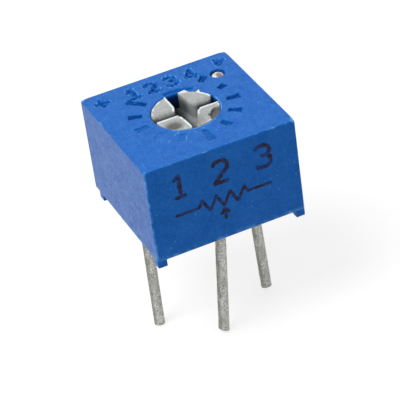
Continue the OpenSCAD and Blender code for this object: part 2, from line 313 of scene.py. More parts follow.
# Share of the full depth that a tick has, and how much of its inner end is missing, by place
SHALLOW_TICKS = {0: 0.4, 1: 0.7, 2: 0.9, -1: 0.2, -2: 0.15, -3: 0.4}
CUT_TICKS = {5: 0.4, 4: 0.2, 1: 0.06}
# Short scratches on the top, in front of the hole
SCRATCHES = [
    [(-1.24, -1.56), (-1.0, -1.36)], [(-1.02, -1.5), (-0.9, -1.3)], [(-0.94, -2.12), (-0.74, -1.78)],
    [(-0.38, -1.68), (-0.3, -1.88)], [(-0.62, -1.74), (-0.54, -1.58)], [(0.06, -1.66), (0.1, -1.8)],
    [(0.98, -2.2), (1.12, -2.0)], [(-1.66, -1.86), (-1.5, -1.74)],
]
SCRATCH_W = 0.028
SCRATCH_DEPTH = 0.012
PER_SIDE = 168  # columns along each side of the housing
PER_CORNER = 9  # and round each of its corners
HOLE_ROWS = 9  # rows up the rotor's hole
ROUND_ROWS = 6  # rows over each rounded edge
SIDE_ROWS = 9  # rows down the side


def outside_tick(p, k):
    """How far points p lie outside a tick, counted anticlockwise from the front one: the greater
    of how far they are past its ends and past its sides, which spread a little outwards."""
    angle = math.radians(-90 + k * TICK_STEP)
    out = p @ np.array([math.cos(angle), math.sin(angle)])
    across = np.abs(p @ np.array([-math.sin(angle), math.cos(angle)]))
    start = TICK_IN + CUT_TICKS.get(k, 0)
    run = TICK_L + LONG_EXTRA * (k % TICK_PAIRS == 0) + TICK_IN - start
    past_end = np.abs(out - start - run / 2) - run / 2
    half_width = TICK_W / 2 + 0.05 * np.clip((out - start) / run, 0, 1)
    return np.maximum(past_end, across - half_width)


def relief(p):
    """How deep the top is sunk at points p, how much painted shade it has, and how much of a pale
    burr it has, each from 0 to 1.

    Grooves along the ticks and marks have flat floors and uneven sloping walls, and a shallow
    curved dent lies behind the hole. The walls and the dent carry painted shade, and the floors
    carry it in blotches.
    Burrs stand in patches just outside the marks.
    """
    ragged = 0.03 * waves(p, 21, 0.3)
    away = distance_to_lines(p, DIAL_MARKS)
    mark = smooth_step((DIAL_STROKE / 2 + ragged - away) / GROOVE_WALL + 0.5)
    sunk = np.clip(0.8 + 0.5 * waves(p, 23, 0.35), 0.4, 1) * mark
    patchy = waves(p, 24, 0.25)
    floor = np.clip(np.where(mark > 0, 0.3 + 1.3 * patchy, 0.62 + 0.3 * patchy), 0.02, 1)
    dark = sunk * floor + 0.7 * sunk * (1 - sunk)
    for k in range(-TICK_PAIRS, TICK_PAIRS + 1):
        share = SHALLOW_TICKS.get(k, 1.0)
        groove = smooth_step((0.6 * ragged - outside_tick(p, k)) / GROOVE_WALL + 0.5)
        sunk = np.maximum(sunk, share * groove)
        walls = 1.2 * math.sqrt(share) * groove * (1 - groove)
        dark = np.maximum(dark, share * groove * floor + walls)
    off_rim = np.abs(length(p) - HOLE_R - 0.2) - 0.1
    off_side = (degrees_off(direction_of(p), 78) - 22) * 0.03
    dent = 0.5 * smooth_step((1.5 * ragged - np.maximum(off_rim, off_side)) / 0.12 + 0.5)
    burr = smooth_step(1 - np.abs(away - 0.15) / 0.12) * np.clip(5 * waves(p, 25, 0.2), 0, 1)
    return np.maximum(sunk, dent), np.clip(np.maximum(dark - burr, 0.9 * dent), 0, 1), burr


def outline_angles(per_side, per_corner):
    """Directions of the housing's columns from the axis: even steps along its four sides, and
    close ones round its corners."""
    w, d = HALF_W - CORNER_R, HALF_D - CORNER_R
    corners = [(w, -d, -90), (w, d, 0), (-w, d, 90), (-w, -d, 180)]
    rounds = [arc(x, y, CORNER_R, turn, turn + 90, per_corner) for x, y, turn in corners]
    share = np.linspace(0, 1, per_side)[1:-1, None]
    line = []
    for this, after in zip(rounds, rounds[1:] + rounds[:1]):
        line += [this, this[-1] * (1 - share) + after[0] * share]
    line = np.vstack(line)
    return np.unwrap(np.arctan2(line[:, 1], line[:, 0]))


def reach(angle, half_w, half_d, corner):
    """Distance from the axis to a rectangle with quarter-round corners, along each angle."""
    u = np.stack([np.abs(np.cos(angle)), np.abs(np.sin(angle))], -1)
    flat = np.minimum(half_w / np.maximum(u[:, 0], 1e-9), half_d / np.maximum(u[:, 1], 1e-9))
    at = u * flat[:, None]
    q = np.array([half_w - corner, half_d - corner])
    along = u @ q
    inside = np.maximum(along ** 2 - q @ q + corner ** 2, 0)
    return np.where((at > q).all(axis=1), along + np.sqrt(inside), flat)


def housing_rows(angle, u, worn):
    """The moulding's profile in every column, and where its rows on the top start and end.

    Rows go up the rotor's hole, over the rim, out across the top, over the outer edge, down the
    side, round the lower edge, and back through the pocket and the chambers. A row is a circle
    inside, a rounded rectangle outside, and a straight mix of both on the top.
    """
    def ring(distance, z):
        return with_z(u * np.broadcast_to(distance, angle.shape)[:, None], z)

    def outline(inset, z):
        return ring(reach(angle, HALF_W - inset, HALF_D - inset, max(CORNER_R - inset, 0.02)), z)

    def over_edge(i, d):
        kept = outline(i * TOP_EDGE_R, Z_TOP - d * TOP_EDGE_R)
        rubbed = outline(i * WORN_EDGE_R, Z_TOP - d * WORN_EDGE_R)
        return kept * (1 - worn) + rubbed * worn

    rounding = quarter(ROUND_ROWS)
    z_rim = Z_TOP - HOLE_EDGE_R - 0.01
    rows = [ring(HOLE_R, z) for z in np.linspace(Z_CEILING, z_rim, HOLE_ROWS)]
    rows += [ring(HOLE_R + i * HOLE_EDGE_R, Z_TOP - d * HOLE_EDGE_R) for i, d in rounding[::-1]]
    first_top = len(rows)
    inner, outer = rows[-1], over_edge(1, 0)
    mix = np.concatenate([[0.004], np.linspace(0, 1, 76)[1:-1], [0.995]])
    rows += [inner * (1 - m) + outer * m for m in mix]
    last_top = len(rows)
    rows += [over_edge(i, d) for i, d in rounding]
    low, high = FOOT_H + BOTTOM_EDGE_R, Z_TOP - WORN_EDGE_R
    down = np.linspace(high, low, SIDE_ROWS)[1:-1]
    rows += [outline(0, z) for z in (high - 0.02, *down, low + 0.02)]
    rows += [outline(i * BOTTOM_EDGE_R, FOOT_H + d * BOTTOM_EDGE_R) for i, d in rounding[::-1]]
    rows += [outline(WALL, z) for z in (FOOT_H, Z_SEAL, Z_PLATE_TOP)]
    at_stop = degrees_off(np.degrees(angle), -90) < STOP_SPAN / 2
    chamber = np.where(at_stop, FLANGE_R + 0.06, CHAMBER_R)
    z_element = Z_PLATE_TOP + HEAD_ROOM
    z_flange = Z_FLANGE_TOP + 0.03
    rows += [ring(r, z) for r, z in (
        (ELEMENT_R, Z_PLATE_TOP), (ELEMENT_R, z_element), (chamber, z_element),
        (chamber, z_flange), (RING_CHAMBER_R, z_flange), (RING_CHAMBER_R, Z_CEILING))]
    return np.array(rows), first_top, last_top


def drawn_to_vent(xy):
    """Points of the top near the vent's mouth, drawn to its circle so that its wall is steep:
    their distance to it becomes its own square over the width of the band."""
    band = 0.07
    away = length(xy - VENT_AT)
    off = away - VENT_R
    gathered = VENT_R + off * np.abs(off) / band
    pulled = VENT_AT + (xy - VENT_AT) * (gathered / np.maximum(away, 1e-6))[..., None]
    return np.where((np.abs(off) < band)[..., None], pulled, xy)


def housing_shell():
    """The moulding as one closed grid, each column a half plane through the rotor's axis. The
    relief, the vent and the scratches sink the top face. With the shell come its vertices'
    values: painted shade in the recesses, how near an edge they are, for wear and for a painted
    highlight on the hole's rim, and painted shadow deep down the hole and the vent.
    """
    angle = outline_angles(PER_SIDE, PER_CORNER)
    u = np.stack([np.cos(angle), np.sin(angle)], -1)
    side = u * reach(angle, HALF_W, HALF_D, CORNER_R)[:, None]
    worn = smooth_step(1 - length(np.abs(side) - (HALF_W, HALF_D)) / 0.35)[:, None]
    points, first_top, last_top = housing_rows(angle, u, worn)
    low_edge = last_top + ROUND_ROWS + SIDE_ROWS - 1
    on_top, down_side = slice(first_top, last_top), slice(last_top - 1, low_edge + ROUND_ROWS)

    top = points[on_top]
    top[..., :2] = drawn_to_vent(top[..., :2])
    away = length(top[..., :2] - VENT_AT)
    sunk, dark, burr = relief(top[..., :2]) * (away > VENT_R + 0.1)
    in_vent = away < VENT_R
    scratched = smooth_step(1.4 - distance_to_lines(top[..., :2], SCRATCHES) / SCRATCH_W)
    top[..., 2] -= np.where(in_vent, VENT_DEPTH, RELIEF_DEPTH * sunk)
    top[..., 2] -= SCRATCH_DEPTH * scratched

    recess_shade, shadow, edge = np.zeros((3, *points.shape[:2]))
    # Painted shade down the hole's wall, in the dial's marks and in the vent; painted shadow deeper
    # down the hole and in the vent
    below_top = Z_TOP - points[:first_top, :, 2]
    recess_shade[:first_top] = smooth_step((below_top - 0.05) / 0.13)
    recess_shade[on_top] = np.maximum(dark, in_vent)
    shadow[:first_top] = smooth_step((below_top - 0.15) / 0.5)
    shadow[on_top] = 0.75 * in_vent
    # The hole's rim: rubbed pale all round and more towards the front, with a painted highlight towards
    # the right
    to_front = smooth_step((50 - degrees_off(np.degrees(angle), -98)) / 15)
    to_right = smooth_step((28 - degrees_off(np.degrees(angle), -12)) / 12)
    edge[HOLE_ROWS:first_top] = 0.4 + 0.6 * np.maximum(to_front, to_right)
    edge[first_top:first_top + 5] = 0.95 * to_front * np.linspace(1, 0.3, 5)[:, None]
    edge[on_top] = np.max([edge[on_top], scratched, burr], axis=0)
    chipped = 0.5 + 0.4 * waves(top[-1, :, :2], 26, 0.8)
    edge[last_top - 1:last_top + ROUND_ROWS] = chipped + 0.4 * worn[:, 0]
    edge[low_edge:low_edge + ROUND_ROWS] = 0.8
    upright = np.arange(len(angle)) % (PER_SIDE + PER_CORNER - 2) < PER_CORNER
    edge[down_side] = np.maximum(edge[down_side], 0.75 * upright)
    return surface(points, close_rows=True), recess_shade.ravel(), edge.ravel(), shadow.ravel()


def foot_shell(x, y, round_corner):
    """A square foot: its outline carried down and closed below. The corner that it shares with
    the housing has the housing's own rounding."""
    side = FOOT_W / 2 - 0.002
    corners = []
    for sx, sy in ((1, 1), (-1, 1), (-1, -1), (1, -1)):
        outer = round_corner and sx * x > 0 and sy * y > 0
        r = CORNER_R - 0.002 if outer else 0.03
        start = math.degrees(math.atan2(sy, sx)) - 45
        corners.append(arc(x + sx * (side - r), y + sy * (side - r), r, start, start + 90, 8))
    outline = np.vstack(corners)
    middle = np.array([x, y])
    z_high = FOOT_H + 0.05
    levels = [(0.0, z_high), (0.0, 0.045), (0.0, 0.03), (0.006, 0.012), (0.02, 0.003),
              (0.035, 0.0), (0.05, 0.0)]
    points = np.array([with_z(middle + (outline - middle) * (1 - inset / side), z)
                       for inset, z in levels])
    return surface(points[::-1, ::-1], start=(x, y, 0), end=(x, y, z_high))


def make_housing():
    """The moulding with its four feet, the back two standing in from the back face."""
    shell, recess_shade, edge, shadow = housing_shell()
    shells = [shell]
    for sx in (-1, 1):
        foot_x, foot_y = sx * (HALF_W - FOOT_W / 2), HALF_D - FOOT_W / 2
        shells.append(foot_shell(foot_x, -foot_y, True))
        shells.append(foot_shell(foot_x, foot_y - BACK_FOOT_INSET, False))
    feet = np.zeros(sum(len(shell[0]) for shell in shells[1:]))
    values = {"recess_shade": [*recess_shade, *feet], "edge": [*edge, *(feet + 0.2)], "shadow": [*shadow, *feet]}
    make_piece("housing_moulding", shells, "blue", "body", ["housing"], values)


# ------ rotor

LIP_H = 0.03  # how far the thin lips stand up
ROLL_R = 0.035  # radius of the quadrants' top edges
WORN_ROLL = 0.13  # what wear adds to it
Z_LOW = Z_SLOT - 0.03  # the quadrants' lower ends, inside the hub
LIP_W = 0.12  # width over which the face rises to a lip
FINS = [(101.5, 0.1, 5.0), (67.5, 0.13, 9.0), (44.0, 0.14, 4.5)]  # direction, length, half width


def rounded_polygon(corners, radii, spacing):
    """A closed outline through straight sides, each corner rounded with its own radius, and
    points about evenly spaced along it."""
    corners = np.asarray(corners, float)
    line = []
    for i, r in enumerate(radii):
        before, at, after = corners[i - 1], corners[i], corners[(i + 1) % len(corners)]
        a, b = unit(before - at), unit(after - at)
        half = math.acos(np.clip(a @ b, -1, 1)) / 2
        if r <= 0 or half > math.radians(88):
            line.append(at)
            continue
        back = r / math.tan(half)
        middle = at + unit(a + b) * r / math.sin(half)
        first, last = at + a * back - middle, at + b * back - middle
        start = math.atan2(first[1], first[0])
        turn = (math.atan2(last[1], last[0]) - start + np.pi) % (2 * np.pi) - np.pi
        line += list(arc(*middle, r, math.degrees(start), math.degrees(start + turn), 7))
    return resampled(line, spacing, closed=True)


def rim_angle(value, along, sign):
    """Direction in degrees of the point where a line x = value or y = value meets the rim."""
    other = sign * math.sqrt(RIM_R ** 2 - value ** 2)
    x, y = (value, other) if along == "x" else (other, value)
    return math.degrees(math.atan2(y, x)) % 360


# Each raised quadrant: where its rim starts and ends, its inner corners and their radii, the
# line along which its edge is worn soft, and the lines along which the mould left a thin lip
QUADRANTS = [
    dict(rim=(rim_angle(0.46, "y", 1), rim_angle(0.25, "x", 1)),
         inner=[(0.37, 1.0), (0.42, 0.4), (0.6, 0.17), (1.27, 0.17)], radii=[0.3, 0.16, 0.16, 0.06],
         soft=[(1.3, 0.17), (0.6, 0.17), (0.42, 0.4), (0.37, 1.0)],
         lips=[[(0.27, 1.46), (0.5, 1.4)], [(1.08, 1.03), (1.4, 0.5)]]),
    dict(rim=(rim_angle(-0.31, "x", 1), rim_angle(0.13, "y", -1)),
         inner=[(-0.43, 0.13), (-0.31, 0.5)], radii=[0.07, 0.2],
         soft=[(-1.3, 0.13), (-0.55, 0.13)], lips=[[(-0.31, 1.35), (-0.31, 0.5), (-0.4, 0.2)]]),
    dict(rim=(rim_angle(-0.2, "y", -1), rim_angle(-0.33, "x", -1)),
         inner=[(-0.28, -1.3), (-0.31, -0.8), (-0.36, -0.42), (-0.45, -0.2)],
         radii=[0.1, 0.3, 0.2, 0.08], soft=[],
         lips=[[(-1.4, -0.2), (-0.5, -0.2)], [(-0.36, -0.4), (-0.31, -0.8), (-0.28, -1.35)]]),
    dict(rim=(rim_angle(-0.1, "x", -1), rim_angle(-0.18, "y", 1)),
         inner=[(0.6, -0.18), (0.43, -0.32), (0.2, -0.72), (0.0, -1.05)],
         radii=[0.12, 0.12, 0.3, 0.3], soft=[(0.2, -0.72), (0.0, -1.05), (-0.1, -1.4)],
         lips=[[(0.43, -0.32), (0.36, -0.44)], [(0.6, -0.18), (1.4, -0.18)]]),
]


def quadrant_outline(rim, inner, radii):
    """The outline of one raised quadrant: along the rim, then its inner corners, anticlockwise."""
    first, last = rim
    last += 360 * (last < first)
    corners = list(arc(0, 0, RIM_R, first, last, 24)) + list(inner)
    return rounded_polygon(corners, [0.05] + [0.0] * 22 + [0.05] + list(radii), 0.025)


def close_to(p, line, width):
    """1 on a line, 0 further from it than a width, and smooth between."""
    return smooth_step(1 - distance_to_lines(p, [line]) / width)


def front_left_hollow(p):
    """0 to 1: a soft hollow in the front left quadrant, running out to the rim."""
    return smooth_step((1.55 - length((p - (-0.93, -0.86)) / (0.36, 0.32))) / 1.1)


def front_right_notch(p):
    """0 to 1: a broken crescent inside the rim of the front right quadrant, with a ragged, steep
    inner edge."""
    share = smooth_step((25 - degrees_off(direction_of(p), -42)) / 14)
    inner_edge = 1.46 - 0.34 * share + 0.07 * waves(p, 31, 0.25)
    return share * smooth_step((length(p) - inner_edge) / 0.06)


def face_height(p, from_edge):
    """Height of the rotor's face at points p over its flat level: hollows, and the fine waves
    that the mould leaves, growing away from the edge."""
    fade = smooth_step(from_edge / 0.15)
    wavy = 0.008 * waves(p, 32, 0.5) + 0.004 * waves(p, 33, 0.16)
    return wavy * fade - 0.07 * front_left_hollow(p) - 0.11 * front_right_notch(p)


def rim_fins(p):
    """How far thin moulding fins reach out over the hole's rim at points p: sharp teeth at a few
    directions, only on points that already lie on the rim."""
    angle = direction_of(p)
    at_rim = smooth_step((length(p[..., :2]) - HUB_R + 0.12) / 0.08)
    teeth = [out * np.clip(1 - degrees_off(angle, direction) / half_width, 0, 1) ** 1.3
             for direction, out, half_width in FINS]
    return np.max(teeth, axis=0) * at_rim


def room_inside(outline, inward):
    """Radius of the largest circle inside an outline that touches it at each of its points: the
    least, over the other points, of the circle through both that is tangent at the first."""
    gap = outline[None] - outline[:, None]
    ahead = (gap * inward[:, None]).sum(axis=-1)
    radius = (gap ** 2).sum(axis=-1) / np.maximum(2 * ahead, 1e-9)
    return np.where(ahead > 1e-6, radius, 9.0).min(axis=1)


def quadrant_shell(rim, inner, radii, soft, lips):
    """A raised quadrant: its outline carried up as a wall, rolled over the top edge by a quarter
    round, and then drawn in to the middle.

    The quarter round is wider along the soft line, and narrower in sharp corners, where its rows
    would cross. The face rises along the lips, and the fins stand out over the hole's rim. With
    the shell come its vertices' values of painted highlight along the rim, the lips and the fins.
    """
    outline = quadrant_outline(rim, inner, radii)
    ahead = np.roll(outline, -1, axis=0) - np.roll(outline, 1, axis=0)
    inward = unit(np.stack([-ahead[:, 1], ahead[:, 0]], -1))
    middle = outline.mean(axis=0)
    roll = np.full(len(outline), ROLL_R)
    whole = 1 - np.maximum(front_left_hollow(outline), front_right_notch(outline))
    # Painted highlight along the rim, left out in the hollow, the notch and along the soft line
    rim_highlight = (0.3 + 0.6 * waves(outline, 34, 0.4)) * whole
    if soft:
        worn = close_to(outline, soft, 0.25)
        roll += WORN_ROLL * worn
        rim_highlight *= 1 - worn
    uneven = 0.85 + 0.4 * waves(outline, 35, 0.5)
    lip = np.maximum(np.max([close_to(outline, line, LIP_W) * uneven for line in lips], axis=0), 0)
    rim_highlight = np.clip(np.maximum(rim_highlight, lip), 0, 1)
    fit = np.minimum(0.9 * room_inside(outline, inward) / (roll + 0.06), 1)

    def row(inset, z, shrink=0.0):
        at = outline + inward * (inset * fit)[:, None]
        return with_z(at + (middle - at) * shrink, z)

    rows = [row(0, z) for z in (Z_LOW, Z_SLOT + 0.1, Z_SLOT + 0.25, Z_SLOT + 0.4)]
    walls = len(rows)
    rows += [row(i * roll, Z_FACE - d * roll + LIP_H * lip * (1 - d)) for i, d in quarter(8)[::-1]]
    rows += [row(roll + 0.025, Z_FACE + 0.8 * LIP_H * lip)]
    rows += [row(roll + 0.05, Z_FACE + 0.1 * LIP_H * lip)]
    first_flat = len(rows)
    rows += [row(roll + 0.06, Z_FACE, s) for s in np.linspace(0, 1, 44)[:-1]]
    points = np.array(rows)

    face = points[walls:]
    run_in = np.linspace(0, 0.6, len(points) - first_flat)
    from_edge = np.concatenate([np.zeros(first_flat - walls), run_in])
    face[..., 2] += face_height(face[..., :2], from_edge[:, None])
    upper = points[walls + 2:first_flat + 4]
    fins = rim_fins(upper)
    upper[..., 2] += 0.25 * fins
    upper[..., :2] *= 1 + (fins / length(upper[..., :2]))[..., None]
    share = np.zeros(len(rows))
    share[walls + 4:first_flat + 1] = np.linspace(0.5, 1.0, first_flat - walls - 3)
    share[first_flat + 1] = 0.3
    # Painted highlight: the rim's and the lips' share, and the fins
    edges = np.maximum(share[:, None] * rim_highlight, np.clip(rim_fins(points) * 6, 0, 1))
    high = (*middle, Z_FACE + face_height(middle, 1.0))
    return surface(points[:, ::-1], start=(*middle, Z_LOW), end=high), [*edges[:, ::-1].ravel(), 0, 0]


def painted_face_shade(p):
    """0 to 1: painted shade on the face at points p: in the hollow and the notch, beside the
    pointer arm, towards the side arms behind them, and a little towards the right."""
    on_face = smooth_step((p[:, 2] - Z_FACE + 0.3) / 0.1)
    x, y, p = p[:, 0], p[:, 1], p[:, :2]
    patchy = 1 + 0.5 * waves(p, 36, 0.4)
    by_arms = 0.42 * smooth_step((0.62 - y) / 0.55) * (y > 0) * patchy
    towards_right = 0.05 * smooth_step((x - 0.2) / 0.4) * (1 + waves(p, 37, 0.5))
    by_pointer = smooth_step(1 - (x - 0.6 * y - 0.62) / 0.75) * (x > 0) * (y < -0.2)
    by_pointer *= 0.15 + 0.5 * smooth_step((-0.5 - y) / 0.8)
    shaded = np.max([front_left_hollow(p), 1.5 * front_right_notch(p), by_pointer, by_arms], axis=0)
    return np.clip(shaded + towards_right, 0, 1) * on_face


def painted_slot_shade(p):
    """0 to 1: painted shade in the slot at points p. It grows with depth, fastest in the right arm,
    and less where the light reaches the middle's right-hand wall."""
    x, y = p[:, 0], p[:, 1]
    depth = np.clip((Z_FACE - p[:, 2]) / SLOT_DEPTH, 0, 1)
    side_arms = smooth_step((0.35 - np.abs(y)) / 0.1)
    right_arm = smooth_step((x - 0.5) / 0.2) * side_arms
    left_arm = smooth_step((-0.42 - x) / 0.1) * side_arms
    back = smooth_step((y - 0.45) / 0.6)
    lit = smooth_step((x - 0.05) / 0.35) * (1 - right_arm) * (1 - 0.75 * back)
    speed = 1.25 + 1.6 * right_arm + 0.3 * left_arm + 0.4 * back
    return np.clip(smooth_step(depth * speed) * (1 - 0.65 * lit), 0, 1)


def revolved(profile, columns, lug=None):
    """A profile of (radius, height) points turned round the axis. Where lug is given, as a
    direction, a span and a radius, rows at the largest radius stand out to it there."""
    angle = full_turn(columns)
    profile = np.asarray(profile, float)
    radius = np.repeat(profile[:, :1], columns, axis=1)
    if lug:
        direction, span, out = lug
        widest = profile[:, 0] > profile[:, 0].max() - 1e-6
        in_span = degrees_off(np.degrees(angle), direction) < span / 2
        radius = np.where(widest[:, None] & in_span[None], out, radius)
    return np.stack([radius * np.cos(angle), radius * np.sin(angle),
                     np.repeat(profile[:, 1:], columns, axis=1)], -1)


def make_rotor():
    """The four raised quadrants on the hub, whose top is the slot's floor, with its flange and
    the lug that meets the housing's stop."""
    made = [quadrant_shell(**quadrant) for quadrant in QUADRANTS]
    hub = [(r, Z_SLOT) for r in np.linspace(0.07, HUB_R, 20)]
    hub += [(HUB_R, Z_FLANGE_TOP), (FLANGE_R, Z_FLANGE_TOP), (FLANGE_R, Z_FLANGE),
            (1.0, Z_FLANGE), (0.4, Z_FLANGE)]
    hub_shell = surface(revolved(hub, 180, (90, LUG_SPAN, LUG_R)),
                        start=(0, 0, Z_SLOT), end=(0, 0, Z_FLANGE))
    shells = [shell for shell, _ in made] + [hub_shell]
    edges = np.concatenate([edge for _, edge in made] + [np.zeros(len(hub_shell[0]))])
    at = np.vstack([shell[0] for shell in shells])
    # Painted shade on the face and down the slot, and painted highlights along the edges
    values = {"stain": painted_face_shade(at), "slot_shade": painted_slot_shade(at), "edge": edges}
    make_piece("rotor_moulding", shells, "grey", "rotor_unit", ["rotor"], values)


# ------ terminals and resin

CUT_ROWS = 24  # rows that the cut's slant stretches
CUT_ROUND = [(0.012, 0.005), (0.005, 0.025), (0.001, 0.06), (0.0, 0.11)]  # rise and inset


def make_pin(i):
    """A wire: circles carried down the upright part, through the knee and along the lean.

    Its radius varies as the dipped tin leaves it, and it sways a little. The cut end is nearly
    sharp, and the last part is stretched so that the cut slants. The vertices keep how dark they
    are: a painted dark reflection in patches down the side turned to the left, and darker on the
    rim of the cut.
    """
    lean, to = math.radians(PIN_LEAN[i]), math.radians(PIN_LEAN_TO[i])
    knee = np.array([*PIN_AT[i], Z_SEAL])
    down = np.array([math.sin(lean) * math.cos(to), math.sin(lean) * math.sin(to), -math.cos(lean)])
    run = (Z_SEAL - Z_TIPS) / math.cos(lean)
    upright = [knee + (0, 0, h) for h in (1.35, 0.9, 0.45, 0.12, 0.04)]
    path = np.array(upright + [knee + down * s for s in np.linspace(0.06, run, 170)])
    share = np.clip((Z_SEAL - path[:, 2]) / (Z_SEAL - Z_TIPS), 0, 1)
    at_knee, at_tip = PIN_SWAY[i]
    path[:, 0] += at_knee * (1 - share) * (share > 0) + at_tip * share
    angle = full_turn(56)
    along = unit(np.gradient(path, axis=0))
    side = unit(np.cross(along, (0, 1, 0)))
    over = np.cross(along, side)
    cos, sin = np.cos(angle)[None, :, None], np.sin(angle)[None, :, None]
    round_us = side[:, None] * cos + over[:, None] * sin
    at = path[:, None] + round_us * PIN_R
    dipped = smooth_step((Z_SEAL - 0.1 - path[:, 2]) / 0.4)[:, None]
    uneven = 0.006 * waves(at, 11 + i, 1.3) + 0.006 * waves(at, 14 + i, 0.2) + 0.007
    points = path[:, None] + round_us * (PIN_R + dipped * uneven)[..., None]
    rim = points[-1] - path[-1]
    last = [path[-1] - down * rise + rim * (1 - inset) for rise, inset in CUT_ROUND]
    points = np.concatenate([points[:-1], np.array(last)])
    turned = np.concatenate([round_us, np.repeat(round_us[-1:], len(last) - 1, axis=0)])
    left, front = TIP_SLANT[i]
    slant = left * (1 - turned[-1, :, 0]) + front * (1 - turned[-1, :, 1])
    points[-CUT_ROWS:, :, 2] += np.linspace(0, 1, CUT_ROWS)[:, None] / 2 * slant
    points[-3:, :, 2] += 0.03 * np.clip(waves(points[-3:], 81 + i, 0.12), 0, 1)
    # Painted dark reflection down the side turned to the left, in patches; darker on the cut's rim
    dark_side_and_cut = 0.7 * smooth_step((-turned[..., 0] - 0.55 + 0.25 * waves(points, 71 + i, 0.7)) / 0.4)
    at_cut = np.linspace(0, 1, 8)[:, None] * np.clip(0.9 + waves(points[-8:], 91 + i, 0.2), 0, 1)
    dark_side_and_cut[-8:] = np.maximum(dark_side_and_cut[-8:], at_cut)
    shell = surface(points, start=path[0], end=points[-1].mean(axis=0))
    make_piece(f"terminal_{i + 1}", [shell], "tin", "body", [f"pin_{i + 1}"],
               {"dark_side_and_cut": [*dark_side_and_cut.ravel(), 0, 1]})


def make_vent_plug():
    """A bead of resin in the vent: a cap of revolution, a little uneven. Its vertices keep how
    near they are to its middle."""
    r = VENT_R - 0.055
    rise = 0.17
    z_rim, z_floor = VENT_HIGH[2] - rise, Z_TOP - VENT_DEPTH + 0.01
    cap = [(r * s, z_rim + rise * math.sqrt(1 - 0.97 * s * s)) for s in np.linspace(0, 1, 30)[1:]]
    points = revolved(cap + [(r, z_rim - 0.1), (r, z_floor)], 72)
    points[:-3, :, 2] += 0.008 * waves(points[:-3, :, :2], 5, 0.4)
    # Brown near the middle, a little to the front; further out the bead is pale, a painted reflection
    off_middle = length((points[..., :2] - (0.02, -0.09)) / (0.8, 1))
    near_middle = np.clip(1 - off_middle / r, 0, 1)
    points[..., :2] += VENT_AT
    shell = surface(points, start=(*VENT_AT, z_rim + rise), end=(*VENT_AT, z_floor))
    make_piece("vent_resin", [shell], "bead", "body", ["vent_plug"],
               {"near_middle": [*near_middle.ravel(), 0.7, 0]})


def make_base_resin():
    """The cast resin under the element: rows go out from the middle along its lower face and
    back along its upper face, each a share of the pocket's outline. The slightly wavy lower face
    creeps down the walls and the wires as menisci: exponentials of the distance to them.
    """
    angle = outline_angles(60, 5)
    inside = reach(angle, HALF_W - WALL - 0.005, HALF_D - WALL - 0.005, 0.05)
    rim = np.stack([np.cos(angle), np.sin(angle)], -1) * inside[:, None]
    share = (1 - (1 - np.linspace(0, 1, 90)[1:]) ** 1.3)[:, None, None]
    xy = rim * share
    to_wall = ((HALF_W - WALL, HALF_D - WALL) - np.abs(xy)).min(axis=-1)
    to_wire = np.min([length(xy - pin) - PIN_R for pin in PIN_AT], axis=0)
    up_walls = 0.09 * np.exp(-np.maximum(to_wall, 0) / 0.12)
    up_wires = 0.1 * np.exp(-np.maximum(to_wire, 0) / 0.09)
    z_low = Z_SEAL + 0.02
    lower = with_z(xy, z_low - np.minimum(up_walls + up_wires, 0.11) + 0.012 * waves(xy, 41, 2.4))
    points = np.concatenate([lower, with_z(rim * share[::-12], Z_PLATE)])[:, ::-1]
    shell = surface(points, start=(0, 0, z_low), end=(0, 0, Z_PLATE))
    make_piece("base_resin", [shell], "resin", "body", ["base_seal"])


# ------ printed mark on the front

INK_STEP = 0.022  # spacing of the points along a stroke
LINE_HALF_W = 0.075
DIGIT_HALF_W = 0.1


def front_mark():
    """Strokes of the mark on the front, in X and Z, with their half widths: the terminals'
    numbers over a resistor's zigzag line, with the wiper's arrow pointing at it."""
    digits_z, line_z, arrow_x = FOOT_H + 3.36, FOOT_H + 1.95, -0.15
    strokes = []
    for digit, x in (("1", -2.08), ("2", -0.15), ("3", 1.82)):
        strokes += [(line, DIGIT_HALF_W) for line in placed(PRINTED[digit], (x, digits_z), 1.06)]
    teeth, left, right, swing = 7, -1.3, 1.0, 0.31
    x = np.linspace(left, right, 2 * teeth + 1)[1::2]
    z = line_z + swing * (-1.0) ** np.arange(teeth)
    zigzag = [(-2.42, line_z), (left, line_z), *zip(x, z), (right, line_z), (2.12, line_z)]
    shaft = [(arrow_x, line_z - 1.02), (arrow_x, line_z - 0.5)]
    head = [(-0.36, line_z - 0.74), (arrow_x, line_z - 0.46), (0.06, line_z - 0.74)]
    return strokes + [(line, LINE_HALF_W) for line in (zigzag, shaft, head)]


def ink_shell(line, half_width, seed):
    """A film of ink along a line in X and Z on the front face: a flat lens carried along it, as
    deep in the face as it stands out. Its width wavers, as dots run together do, and its ends are
    drawn in to a round."""
    path = resampled(line, INK_STEP)
    path[1:-1] = (path[:-2] + 2 * path[1:-1] + path[2:]) / 4
    along = unit(np.gradient(path, axis=0))
    across = np.stack([along[:, 1], -along[:, 0]], -1)
    number = np.arange(len(path))
    run = np.minimum(number, number[::-1]) * INK_STEP
    capped = np.sqrt(np.clip(1 - (1 - np.minimum(run / half_width, 1)) ** 2, 0.02, 1))
    angle = full_turn(12)
    side, bulge = np.cos(angle), np.sin(angle)
    waver = np.stack([1 + 0.3 * waves(path, seed + k, 0.11, 2) + 0.14 * waves(path, seed + k, 0.5)
                      for k in (0, 50)], axis=1)
    half = half_width * capped[:, None] * np.where(side > 0, waver[:, :1], waver[:, 1:])
    xz = path[:, None] + across[:, None] * (side * half)[..., None]
    y = -HALF_D - INK_RISE * bulge * capped[:, None]
    points = np.stack([xz[..., 0], y, xz[..., 1]], -1)
    return surface(points, start=points[0].mean(axis=0), end=points[-1].mean(axis=0))


def make_front_mark():
    """The whole mark, a film of ink for each of its strokes."""
    shells = [ink_shell(line, width, 60 + k) for k, (line, width) in enumerate(front_mark())]
    make_piece("front_mark", shells, "ink", "body")


# ------ shader nodes

